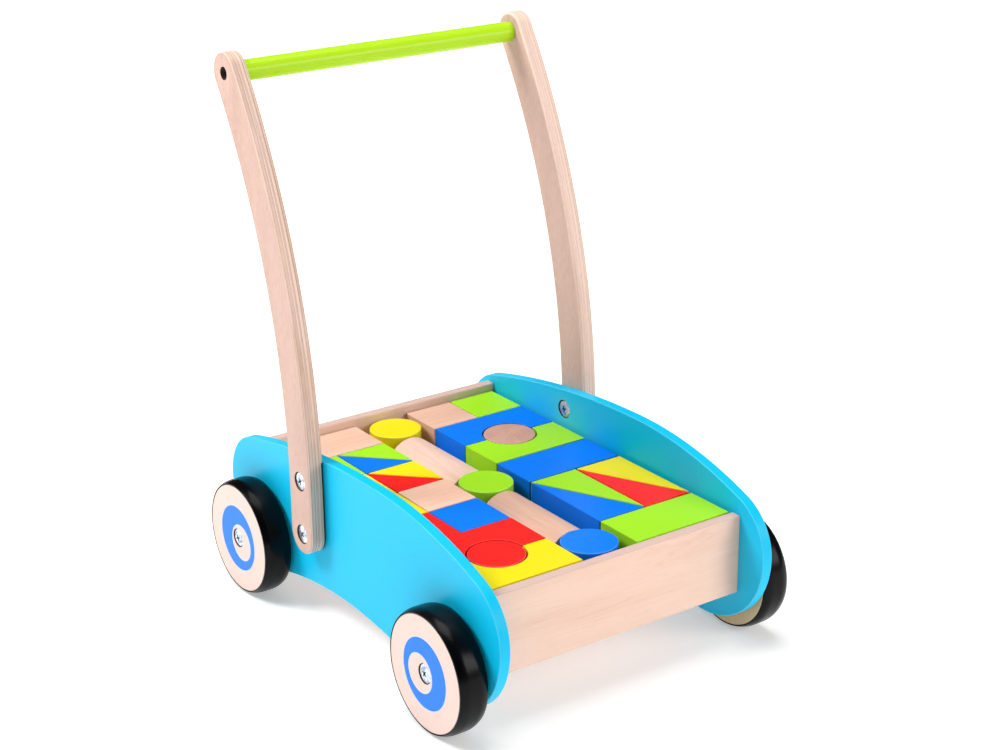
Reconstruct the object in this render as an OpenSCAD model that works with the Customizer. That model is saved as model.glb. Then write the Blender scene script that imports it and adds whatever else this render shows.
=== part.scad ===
// Push-along baby walker: a wooden cart with a tray of thirty building blocks.
// X runs across the cart (left is -X, right is +X, seen from the front board),
// the front board faces -Y, the handle is at +Y, and Z = 0 is the ground.

/* [Blocks] */
// Edge of a cube block
block = 44.8; // [42:0.1:45]
// Free gap between neighbouring blocks
gap = 0.55; // [0.4:0.05:0.8]
// How much narrower than a cube a pillar or a log is
pillar_slim = 0.6; // [0.4:0.1:1.5]
// Radial play of a pillar standing inside two arches
arch_play = 0.9; // [0.6:0.1:1.5]
// Gap between the right-hand blocks and the right panel
right_gap = 2.75; // [1:0.05:3]
// Height of the tray floor's top above the ground
floor_top = 64.7; // [60:0.1:70]

/* [Tray] */
// Clear width between the two side panels
tray_w = 234; // [232:0.5:240]
// Clear length between the front board and the rear board
tray_len = 318; // [317.5:0.5:324]
// Thickness of the front and rear boards
board_t = 9; // [8:0.5:12]
// Underside of the front and rear boards above the ground
board_z = 44; // [38:1:50]
// Height of the front board
front_h = 65; // [60:1:68]
// Height of the rear board
rear_h = 72; // [65:1:75]
// Thickness of the tray floor
floor_t = 4.5; // [3:0.5:6]
// Depth of the grooves that hold the floor
groove = 3.5; // [2:0.5:4]
// Clearance of the floor in its grooves
groove_play = 0.1; // [0.05:0.05:0.3]

/* [Side panels] */
// Thickness of a side panel
panel_t = 9; // [8:0.5:12]
// Length of a side panel
panel_len = 390.4; // [380:0.2:400]
// Height of the panel's end tips above the ground
tip_z = 79.5; // [75:0.5:84]
// Highest point of the top edge above the ground
crown_z = 146.5; // [140:0.5:152]
// Place of the highest point along the cart
crown_y = -36; // [-60:1:20]
// Upper corner radius at the front
front_shoulder_r = 46; // [40:1:55]
// Upper corner radius at the rear
rear_shoulder_r = 45; // [40:1:55]
// Lower lobe radius round the front wheel
front_lobe_r = 67.5; // [60:0.5:70]
// Lower lobe radius round the rear wheel
rear_lobe_r = 62; // [58:0.5:66]
// Radius of the hollowed lower edge between the lobes
belly_r = 394; // [300:1:500]

/* [Wheels] */
// Distance between the front and rear axles
wheelbase = 278; // [270:1:290]
// Outer diameter of a tyre
tyre_d = 95.8; // [90:0.2:100]
// Thickness of the rubber
tyre_t = 3.3; // [2:0.1:4]
// Width of a wheel
wheel_w = 23.5; // [18:0.5:26]
// Radius of a tyre's rounded shoulders
shoulder_r = 16; // [10:0.5:24]
// Thickness of the rubber at a wheel's faces
lip_t = 1.1; // [0.5:0.1:1.5]
// Thickness of the spacer behind a wheel
washer_t = 3; // [1.5:0.5:4]
// Outer diameter of the spacer behind a wheel
washer_d = 20; // [16:1:28]
// Sideways play of a wheel at each face
wheel_play = 0.25; // [0.15:0.05:0.5]
// Diameter of the axle bolt's smooth shoulder
axle_d = 8; // [6:0.5:9]
// Radial clearance of a wheel on its axle bolt
axle_play = 0.05; // [0.03:0.01:0.09]

/* [Handle] */
// Thickness of an upright
upright_t = 13; // [10:0.5:15]
// Width of an upright
upright_w = 32; // [28:1:36]
// Place of the uprights' straight foot along the cart
upright_y = 56; // [40:1:70]
// Height of the lower bolt, where the foot's round end is centred
foot_z = 79; // [76:1:84]
// Height where the straight foot starts to bend
bend_z = 114; // [100:1:130]
// Radius of the bend along the middle of the upright
bend_r = 604; // [560:2:660]
// Height of the handle bar's centre
handle_z = 429; // [400:1:450]
// Diameter of the handle bar
handle_d = 16.5; // [14:0.5:20]
// Distance between the two bolts of an upright
bolt_pitch = 45; // [42:1:48]

/* [Fasteners] */
// Diameter of the flat bolt and nut heads
head_d = 15; // [12:0.5:16]
// Thickness of a head at its rim
head_t = 1.5; // [1:0.1:2]
// Rise of a head's dome above its rim
dome_h = 0.9; // [0.5:0.1:1.2]
// Radial gap round a head in its counterbore
head_gap = 0.4; // [0.4:0.1:1]
// How deep the top of a head's dome sits under the surface
head_sink = 0.1; // [0.1:0.1:1]
// Thread diameter of the bolts
thread_d = 6; // [5:0.5:6]
// Outer diameter of a sleeve nut's barrel
barrel_d = 8; // [7.5:0.5:9]
// How far a sleeve nut reaches into the upright
nut_reach = 6; // [3:0.5:8]
// Thickness of a sleeve nut's closed end
nut_end = 0.5; // [0.5:0.1:1]
// Free length between a bolt's tip and the nut's closed end
tip_gap = 1; // [0.5:0.1:1.5]
// Length of each slot of a head's cross recess
recess_len = 5.2; // [4:0.1:7]
// Width of each slot of a head's cross recess
recess_w = 1.1; // [0.8:0.1:1.5]
// Clearance between metal and wood, and between thread and nut
fit_gap = 0.1; // [0.05:0.05:0.2]
// Diameter of a handle screw's head
screw_head_d = 9; // [8:0.5:10]
// Thickness of a handle screw's head
screw_head_t = 2.2; // [1.8:0.1:3]
// Depth of the cross recess in a handle screw's head
screw_recess = 1.6; // [1:0.1:1.7]
// Radial gap round a handle screw's head in its sunk hole
screw_gap = 0.7; // [0.4:0.1:1]
// Diameter of a handle screw's shank
screw_d = 4; // [3.5:0.5:5]
// Length of a handle screw's shank
screw_len = 38; // [25:1:45]
// Depth of the sunk hole for a handle screw
screw_sink = 5.5; // [4.5:0.5:7]
// Diameter of a wooden joining dowel
dowel_d = 5; // [4:0.5:6]
// Height of the lower dowels as a share of the front board's height
dowel_share = 0.17; // [0.15:0.01:0.2]
// Spare depth at the end of a dowel hole
dowel_spare = 0.5; // [0.2:0.1:1]
// Depth of a joining dowel in the side panel
dowel_in_panel = 5.5; // [4:0.5:6]
// Depth of a joining dowel in the board's end
dowel_in_board = 20; // [15:1:25]

/* [Hidden] */
sides = [-1, 1];
half_tray = tray_w / 2;
panel_x = half_tray + panel_t;
upright_x = panel_x + upright_t;
wheel_in_x = panel_x + washer_t + wheel_play;
wheel_out_x = wheel_in_x + wheel_w;
half_panel = panel_len / 2;
half_len = tray_len / 2;
tyre_r = tyre_d / 2;
disc_r = tyre_r - tyre_t;
head_deep = head_t + head_sink + dome_h;
pocket_r = head_d / 2 + head_gap;
bend_angle = asin((handle_z - bend_z) / bend_r);
handle_y = upright_y + bend_r * (1 - cos(bend_angle));
bolt_zs = [foot_z, foot_z + bolt_pitch];
screw_tip_x = upright_x - screw_sink - screw_len;
nut_x = half_tray + head_deep;
tip_x = nut_x + nut_end + tip_gap;
arc_steps = 24;
fine = 96;
// How far a cut runs past the surface it opens, and the least clearance.
over = 1;
eps = 0.01;

// Colours
sky = [0.25, 0.78, 0.95];
blue = [0.1, 0.48, 0.95];
green = [0.65, 0.9, 0.12];
yellow = [0.97, 0.92, 0.12];
red = [0.97, 0.2, 0.18];
plain = [0.93, 0.8, 0.68];
ply = [0.95, 0.84, 0.75];
zinc = [0.78, 0.8, 0.84];
rubber = [0.05, 0.05, 0.06];

// Block columns: x of each region's left edge. The left region leans on the left
// panel, the right region nearly on the right panel, the pillars stand between.
left_x = -half_tray + gap;
pair_w = 2 * block + gap;
right_x = half_tray - right_gap - pair_w;
pillar_r = (block - pillar_slim) / 2;
pillar_x = left_x + pair_w + gap + pillar_r;
row_pitch = block + (tray_len - 7 * block) / 8;
row_0 = -half_len + (tray_len - 7 * block) / 8;
arch_r = pillar_r + arch_play;
function row_y(row) = row_0 + row * row_pitch;

// Every block: name, kind, x of its left edge, row of its front edge, colour, option.
// A wedge's option is the side of the diagonal it fills, and an arch's is the side
// that its hollow opens to: "rear" or "front". In the middle column the option is
// how far the piece has slid, along X and Y.
BLOCKS = [
    ["block_green_brick", "brick", right_x, 0, green, 0],
    ["block_green_long_wedge", "long_wedge", right_x, 1, green, "rear"],
    ["block_blue_long_wedge", "long_wedge", right_x, 1, blue, "front"],
    ["block_yellow_long_wedge", "long_wedge", right_x + block + gap, 1, yellow, "rear"],
    ["block_red_long_wedge", "long_wedge", right_x + block + gap, 1, red, "front"],
    ["block_blue_brick", "brick", right_x, 3, blue, 0],
    ["block_green_arch", "arch", right_x, 4, green, "rear"],
    ["block_plain_pillar", "arch_pillar", right_x, 5, plain, 0],
    ["block_blue_arch", "arch", right_x, 5, blue, "front"],
    ["block_plain_cube_rear", "cube", right_x, 6, plain, 0],
    ["block_green_cube_rear", "cube", right_x + block + gap, 6, green, 0],
    ["block_blue_pillar", "pillar", 0, 0, blue, [0, -0.3]],
    ["block_plain_log_front", "log", 0, 1, plain, [0.2, -1.2]],
    ["block_green_pillar", "pillar", 0, 3, green, [0.5, -1.6]],
    ["block_plain_log_rear", "log", 0, 4, plain, [1.2, -2.2]],
    ["block_yellow_pillar", "pillar", 0, 6, yellow, [2.2, -1]],
    ["block_yellow_arch", "arch", left_x, 0, yellow, "rear"],
    ["block_red_pillar", "arch_pillar", left_x, 1, red, 0],
    ["block_red_arch", "arch", left_x, 1, red, "front"],
    ["block_red_cube", "cube", left_x, 2, red, 0],
    ["block_blue_cube", "cube", left_x + block + gap, 2, blue, 0],
    ["block_yellow_cube_front", "cube", left_x, 3, yellow, 0],
    ["block_plain_cube_middle", "cube", left_x + block + gap, 3, plain, 0],
    ["block_yellow_cube_rear", "cube", left_x, 4, yellow, 0],
    ["block_yellow_wedge", "wedge", left_x + block + gap, 4, yellow, "rear"],
    ["block_red_wedge", "wedge", left_x + block + gap, 4, red, "front"],
    ["block_green_cube_left", "cube", left_x, 5, green, 0],
    ["block_green_wedge", "wedge", left_x + block + gap, 5, green, "rear"],
    ["block_blue_wedge", "wedge", left_x + block + gap, 5, blue, "front"],
    ["block_plain_brick", "brick", left_x, 6, plain, 0]
];

// Every wheel: name, side, sign of its place along the cart.
WHEELS = [
    ["front_left", -1, -1],
    ["front_right", 1, -1],
    ["rear_left", -1, 1],
    ["rear_right", 1, 1]
];

// ---- Outlines, drawn in the side view: first coordinate along Y, second up Z ----

// Points of an arc round centre c, from angle a0 to angle a1.
function arc(c, r, a0, a1) = [
    for (i = [0 : arc_steps])
        let (a = a0 + (a1 - a0) * i / arc_steps)
            c + r * [cos(a), sin(a)]
];

function angle_of(v) = atan2(v[1], v[0]);

// Radius of the top arc that is level at the crown and runs into a shoulder circle.
function top_r(shoulder, r) =
    let (along = shoulder[0] - crown_y, rise = crown_z - shoulder[1])
        (along * along + rise * rise - r * r) / (2 * (rise - r));

front_shoulder = [-half_panel + front_shoulder_r, tip_z];
rear_shoulder = [half_panel - rear_shoulder_r, tip_z];
front_top_r = top_r(front_shoulder, front_shoulder_r);
rear_top_r = top_r(rear_shoulder, rear_shoulder_r);
front_top = [crown_y, crown_z - front_top_r];
rear_top = [crown_y, crown_z - rear_top_r];
front_lobe = [-half_panel + front_lobe_r, tip_z];
rear_lobe = [half_panel - rear_lobe_r, tip_z];

// The belly circle touches both lobes from below.
lobe_dist = rear_lobe[0] - front_lobe[0];
to_front = belly_r + front_lobe_r;
to_rear = belly_r + rear_lobe_r;
belly_along = (to_front * to_front - to_rear * to_rear + lobe_dist * lobe_dist) / (2 * lobe_dist);
belly = [front_lobe[0] + belly_along, tip_z - sqrt(to_front * to_front - belly_along * belly_along)];

// Side panel outline, counter-clockwise from the rear tip.
panel_outline = concat(
    arc(rear_shoulder, rear_shoulder_r, 0, angle_of(rear_shoulder - rear_top)),
    arc(rear_top, rear_top_r, angle_of(rear_shoulder - rear_top), 90),
    arc(front_top, front_top_r, 90, angle_of(front_shoulder - front_top)),
    arc(front_shoulder, front_shoulder_r, angle_of(front_shoulder - front_top), 180),
    arc(front_lobe, front_lobe_r, 180, 360 + angle_of(belly - front_lobe)),
    arc(belly, belly_r, 180 + angle_of(belly - front_lobe), 180 + angle_of(belly - rear_lobe)),
    arc(rear_lobe, rear_lobe_r, angle_of(belly - rear_lobe), 0)
);

// Upright outline: a straight foot, a bend towards the rear and two round ends.
bend = [upright_y + bend_r, bend_z];
half_up = upright_w / 2;
upright_outline = concat(
    arc([upright_y, foot_z], half_up, 180, 360),
    arc(bend, bend_r - half_up, 180, 180 - bend_angle),
    arc([handle_y, handle_z], half_up, -bend_angle, 180 - bend_angle),
    arc(bend, bend_r + half_up, 180 - bend_angle, 180)
);

// ---- Helpers ----

// A board in the side view, from x to x + t.
module side_board(x, t) {
    translate([x, 0, 0]) rotate([90, 0, 90]) linear_extrude(t) children();
}

// Turns a shape made along +Z so that it points outwards on one side, and puts
// its foot at (side * x, y, z).
module outward(side, x, y, z) {
    translate([side * x, y, z]) rotate([0, 90 * side, 0]) children();
}

// A box between two corners.
module span(a, b) {
    translate(a) cube(b - a);
}

// A domed head with a cross recess, its flat underside at z = 0.
module domed_head() {
    dome_r = (pow(head_d / 2, 2) + dome_h * dome_h) / (2 * dome_h);
    difference() {
        intersection() {
            cylinder(h = head_t + dome_h, d = head_d, $fn = fine);
            translate([0, 0, head_t + dome_h - dome_r]) sphere(dome_r, $fn = fine * 2);
        }
        cross_recess(head_t + dome_h, head_t);
    }
}

// A cross recess cut down from height top.
module cross_recess(top, depth) {
    for (a = [0, 90])
        rotate([0, 0, a])
            translate([-recess_len / 2, -recess_w / 2, top - depth])
                cube([recess_len, recess_w, depth + over]);
}

// ---- Tray and side panels ----

// Where the joining dowels stand: y, z pairs on both boards.
dowel_places = [
    for (s = sides, k = [dowel_share, 1 - dowel_share])
        [s * (half_len + board_t / 2), board_z + front_h * k]
];

// Bores and pockets of a side panel's uprights and axles, on one side.
module panel_bores(side) {
    places = concat([for (z = bolt_zs) [upright_y, z]], [for (s = sides) [s * wheelbase / 2, tyre_r]]);
    for (p = places) {
        outward(side, half_tray - over, p[0], p[1])
            cylinder(h = panel_t + 2 * over, d = barrel_d + 2 * fit_gap, $fn = fine);
        outward(side, half_tray - over, p[0], p[1])
            cylinder(h = head_deep + over, r = pocket_r, $fn = fine);
    }
}

module side_panel(side) {
    color(sky) difference() {
        side_board(side > 0 ? half_tray : -panel_x, panel_t) polygon(panel_outline);
        panel_bores(side);
        for (p = dowel_places)
            outward(side, half_tray - over, p[0], p[1])
                cylinder(h = dowel_in_panel + dowel_spare + over, d = dowel_d + 2 * fit_gap, $fn = fine);
        floor_slot();
    }
}

// The space that the tray floor and its clearance take up.
module floor_slot() {
    g = groove + groove_play;
    span(
        [-half_tray - g, -half_len - g, floor_top - floor_t - groove_play],
        [half_tray + g, half_len + g, floor_top + eps]
    );
}

module end_board(s, height) {
    y0 = s > 0 ? half_len : -half_len - board_t;
    color(ply) difference() {
        span([-half_tray, y0, board_z], [half_tray, y0 + board_t, board_z + height]);
        floor_slot();
        for (p = dowel_places, side = sides)
            outward(side, half_tray - dowel_in_board - dowel_spare, p[0], p[1])
                cylinder(h = dowel_in_board + dowel_spare + over, d = dowel_d + 2 * fit_gap, $fn = fine);
    }
}

module front_panel() {
    end_board(-1, front_h);
}

module rear_panel() {
    end_board(1, rear_h);
}

module tray_floor() {
    color(plain) span(
        [-half_tray - groove, -half_len - groove, floor_top - floor_t],
        [half_tray + groove, half_len + groove, floor_top]
    );
}

module panel_dowels() {
    color(plain) for (p = dowel_places, side = sides)
        outward(side, half_tray - dowel_in_board, p[0], p[1])
            cylinder(h = dowel_in_board + dowel_in_panel, d = dowel_d, $fn = fine);
}

// ---- Handle ----

module upright(side) {
    color(ply) difference() {
        side_board(side > 0 ? panel_x : -upright_x, upright_t) polygon(upright_outline);
        for (z = bolt_zs) {
            outward(side, panel_x - over, upright_y, z)
                cylinder(h = upright_t + 2 * over, d = barrel_d + 2 * fit_gap, $fn = fine);
            outward(side, upright_x - head_deep, upright_y, z)
                cylinder(h = head_deep + over, r = pocket_r, $fn = fine);
        }
        outward(side, panel_x - over, handle_y, handle_z)
            cylinder(h = upright_t + 2 * over, d = screw_d + 2 * fit_gap, $fn = fine);
        outward(side, upright_x - screw_sink, handle_y, handle_z)
            cylinder(h = screw_sink + over, d = screw_head_d + 2 * screw_gap, $fn = fine);
    }
}

module handle_bar() {
    color(green) difference() {
        outward(1, -panel_x, handle_y, handle_z) cylinder(h = 2 * panel_x, d = handle_d, $fn = fine);
        for (side = sides)
            outward(side, screw_tip_x - over, handle_y, handle_z)
                cylinder(h = screw_len + over, d = screw_d + 2 * fit_gap, $fn = fine);
    }
}

module handle_screws() {
    color(zinc) for (side = sides)
        difference() {
            union() {
                outward(side, upright_x - screw_sink, handle_y, handle_z)
                    cylinder(h = screw_head_t, d1 = screw_head_d, d2 = screw_head_d - 2, $fn = fine);
                outward(side, screw_tip_x, handle_y, handle_z)
                    cylinder(h = screw_len + eps, d = screw_d, $fn = fine);
            }
            outward(side, upright_x - screw_sink, handle_y, handle_z)
                cross_recess(screw_head_t, screw_recess);
        }
}

// ---- Fasteners ----

// Bolts through the uprights: their threads end inside the sleeve nuts.
module upright_bolts() {
    head_x = upright_x - head_deep;
    color(zinc) for (side = sides, z = bolt_zs) {
        outward(side, head_x, upright_y, z) domed_head();
        outward(side, tip_x, upright_y, z) cylinder(h = head_x - tip_x, d = thread_d, $fn = fine);
    }
}

// A sleeve nut whose head faces inwards and whose barrel is barrel_len long.
module sleeve_nut(side, y, z, barrel_len) {
    outward(-side, -nut_x, y, z) domed_head();
    difference() {
        outward(side, nut_x, y, z) cylinder(h = barrel_len, d = barrel_d, $fn = fine);
        outward(side, nut_x + nut_end, y, z)
            cylinder(h = barrel_len, d = thread_d + fit_gap, $fn = fine);
    }
}

module upright_nuts() {
    color(zinc) for (side = sides, z = bolt_zs)
        sleeve_nut(side, upright_y, z, panel_x + nut_reach - nut_x);
}

module axle_nuts() {
    color(zinc) for (side = sides, s = sides)
        sleeve_nut(side, s * wheelbase / 2, tyre_r, panel_x - nut_x);
}

// Axle bolts: a thread in the sleeve nut, a smooth shoulder and a sunk head.
module axle_bolts() {
    head_x = wheel_out_x - head_deep + wheel_play;
    color(zinc) for (side = sides, s = sides) {
        outward(side, head_x, s * wheelbase / 2, tyre_r) domed_head();
        outward(side, panel_x, s * wheelbase / 2, tyre_r)
            cylinder(h = head_x - panel_x, d = axle_d, $fn = fine);
        outward(side, tip_x, s * wheelbase / 2, tyre_r)
            cylinder(h = panel_x - tip_x, d = thread_d, $fn = fine);
    }
}

module axle_washers() {
    color(zinc) for (side = sides, s = sides)
        outward(side, panel_x, s * wheelbase / 2, tyre_r) difference() {
            cylinder(h = washer_t, d = washer_d, $fn = fine);
            translate([0, 0, -over])
                cylinder(h = washer_t + 2 * over, d = axle_d + 2 * fit_gap, $fn = fine);
        }
}

// ---- Wheels ----

module wheel_disc(side, end) {
    color(plain) outward(side, wheel_in_x, end * wheelbase / 2, tyre_r) difference() {
        cylinder(h = wheel_w, r = disc_r, $fn = fine);
        translate([0, 0, -over])
            cylinder(h = wheel_w + 2 * over, d = axle_d + 2 * axle_play, $fn = fine);
        translate([0, 0, wheel_w - head_deep])
            cylinder(h = head_deep + over, r = pocket_r, $fn = fine);
    }
}

// Tyre: a crowned rubber band, thin at both faces of the wheel.
module tyre(side, end) {
    turn = acos(1 - (tyre_t - lip_t) / shoulder_r);
    run = shoulder_r * sin(turn);
    profile = concat(
        [[disc_r, 0]],
        arc([tyre_r - shoulder_r, run], shoulder_r, -turn, 0),
        arc([tyre_r - shoulder_r, wheel_w - run], shoulder_r, 0, turn),
        [[disc_r, wheel_w]]
    );
    color(rubber) outward(side, wheel_in_x, end * wheelbase / 2, tyre_r)
        rotate_extrude($fn = fine * 2) polygon(profile);
}

// ---- Blocks ----

module brick_at(x, y, w, d) {
    translate([x, y, floor_top]) cube([w, d, block]);
}

// One of the two wedges of a w by d block cut along its diagonal, which runs from
// the rear left corner to the front right corner.
module wedge_at(x, y, w, d, part) {
    cut = gap / 2 * sqrt(w * w + d * d);
    translate([x, y, floor_top]) linear_extrude(block)
        if (part == "rear") polygon([[w, cut / w], [w, d], [cut / d, d]]);
        else polygon([[0, 0], [w - cut / d, 0], [0, d - cut / w]]);
}

// An arch block; its half-round hollow opens towards the rear or the front.
module arch_at(x, y, part) {
    centre_y = part == "rear" ? row_pitch - gap / 2 : -gap / 2;
    translate([x, y, floor_top]) linear_extrude(block) difference() {
        square([pair_w, block]);
        translate([pair_w / 2, centre_y]) circle(arch_r, $fn = fine);
    }
}

module pillar_at(x, y) {
    translate([x, y, floor_top]) cylinder(h = block, r = pillar_r, $fn = fine);
}

module log_at(x, y) {
    translate([x, y, floor_top + pillar_r]) rotate([-90, 0, 0])
        cylinder(h = 2 * block, r = pillar_r, $fn = fine);
}

module block_piece(b) {
    x = b[2];
    y = row_y(b[3]);
    color(b[4]) {
        if (b[1] == "brick") brick_at(x, y, pair_w, block);
        if (b[1] == "cube") brick_at(x, y, block, block);
        if (b[1] == "wedge") wedge_at(x, y, block, block, b[5]);
        if (b[1] == "long_wedge") wedge_at(x, y, block, 2 * block, b[5]);
        if (b[1] == "arch") arch_at(x, y, b[5]);
        if (b[1] == "arch_pillar") pillar_at(x + pair_w / 2, y - gap / 2);
        if (b[1] == "pillar") pillar_at(pillar_x + b[5][0], y + block / 2 + b[5][1]);
        if (b[1] == "log") log_at(pillar_x + b[5][0], y + gap + b[5][1]);
    }
}

// ---- Assembly ----

side_panel(-1);  // left_side_panel
side_panel(1);  // right_side_panel
front_panel();
rear_panel();
tray_floor();
panel_dowels();
upright(-1);  // left_upright
upright(1);  // right_upright
handle_bar();
handle_screws();
upright_bolts();
upright_nuts();
axle_bolts();
axle_nuts();
axle_washers();
for (w = WHEELS) {
    wheel_disc(w[1], w[2]);
    tyre(w[1], w[2]);
}
for (b = BLOCKS) block_piece(b);
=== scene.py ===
"""Push-along baby walker with a tray of building blocks: the visual model.

Lengths are metres in the CAD frame: X across (left is -X), the front board faces -Y,
Z up, ground at Z = 0. Shapes are rebuilt from the CAD nodes' own outlines and boxes.
"""

import math
import random

import bmesh
import bpy
from mathutils import Matrix, Vector


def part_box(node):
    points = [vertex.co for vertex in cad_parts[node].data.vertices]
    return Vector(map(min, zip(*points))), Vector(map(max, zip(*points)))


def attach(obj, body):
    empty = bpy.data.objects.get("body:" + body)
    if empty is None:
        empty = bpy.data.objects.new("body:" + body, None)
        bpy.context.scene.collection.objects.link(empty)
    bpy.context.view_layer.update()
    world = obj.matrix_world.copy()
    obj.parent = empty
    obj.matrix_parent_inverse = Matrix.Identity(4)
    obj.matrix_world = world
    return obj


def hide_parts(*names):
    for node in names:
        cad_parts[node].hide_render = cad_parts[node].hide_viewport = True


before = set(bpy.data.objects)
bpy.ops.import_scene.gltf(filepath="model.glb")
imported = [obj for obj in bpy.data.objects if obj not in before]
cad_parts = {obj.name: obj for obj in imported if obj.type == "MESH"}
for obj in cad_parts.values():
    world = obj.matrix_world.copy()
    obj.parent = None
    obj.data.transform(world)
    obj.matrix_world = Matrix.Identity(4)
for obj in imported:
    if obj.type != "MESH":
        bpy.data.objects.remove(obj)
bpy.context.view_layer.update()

MM = 0.001
X, Y, Z = 0, 1, 2
SEED = 11
OTHER_AXES = {X: (Y, Z), Y: (X, Z), Z: (X, Y)}

# --------------------------------------------------------------------------- colour


def linear(r, g, b):
    """A colour given as 0-255 display values, as linear RGBA."""
    def one(v):
        v /= 255
        return v / 12.92 if v <= 0.04045 else ((v + 0.055) / 1.055) ** 2.4
    return (one(r), one(g), one(b), 1.0)


def shade(colour, k):
    """A linear colour scaled by k."""
    return tuple(min(1.0, c * k) for c in colour[:3]) + (1.0,)


SKY = linear(10, 192, 236)
BLUE = linear(6, 118, 240)
GREEN = linear(158, 222, 36)
YELLOW = linear(234, 216, 24)
RED = linear(246, 36, 34)
BAR_GREEN = linear(174, 218, 32)
PRINT_BLUE = linear(6, 121, 236)
PRINT_EDGE = linear(204, 214, 240)
WHEEL_PALE = linear(234, 206, 196)
WHEEL_DARK = linear(224, 190, 176)
BACK_PALE = linear(224, 194, 150)
BACK_DARK = linear(206, 172, 128)
BEECH_PALE = linear(232, 190, 168)
BEECH_DARK = linear(204, 150, 124)
LOG_PALE = linear(234, 200, 186)
LOG_DARK = linear(206, 158, 138)
END_PALE = linear(212, 170, 154)
END_DARK = linear(172, 124, 110)
BIRCH_PALE = linear(238, 204, 187)
BIRCH_DARK = linear(216, 172, 148)
FOOT_PALE = linear(208, 176, 163)
FOOT_DARK = linear(176, 136, 122)
PLY_PALE = linear(240, 210, 196)
BOARD_EDGE = linear(214, 184, 176)
BOARD_EDGE_DARK = linear(188, 150, 138)
PLY_DARK = linear(160, 118, 94)
PLY_OCHRE = linear(214, 172, 112)
# Painted shade: dark wood for the insides of counterbores and for the gap beside the uprights.
BORE_SHADE_PALE = linear(64, 46, 38)
BORE_SHADE_DARK = linear(30, 20, 18)

# --------------------------------------------------------------------------- materials

# How far paint is paled on rounded edges: thinner paint and a painted highlight.
EDGE_HIGHLIGHT = 0.12


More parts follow.
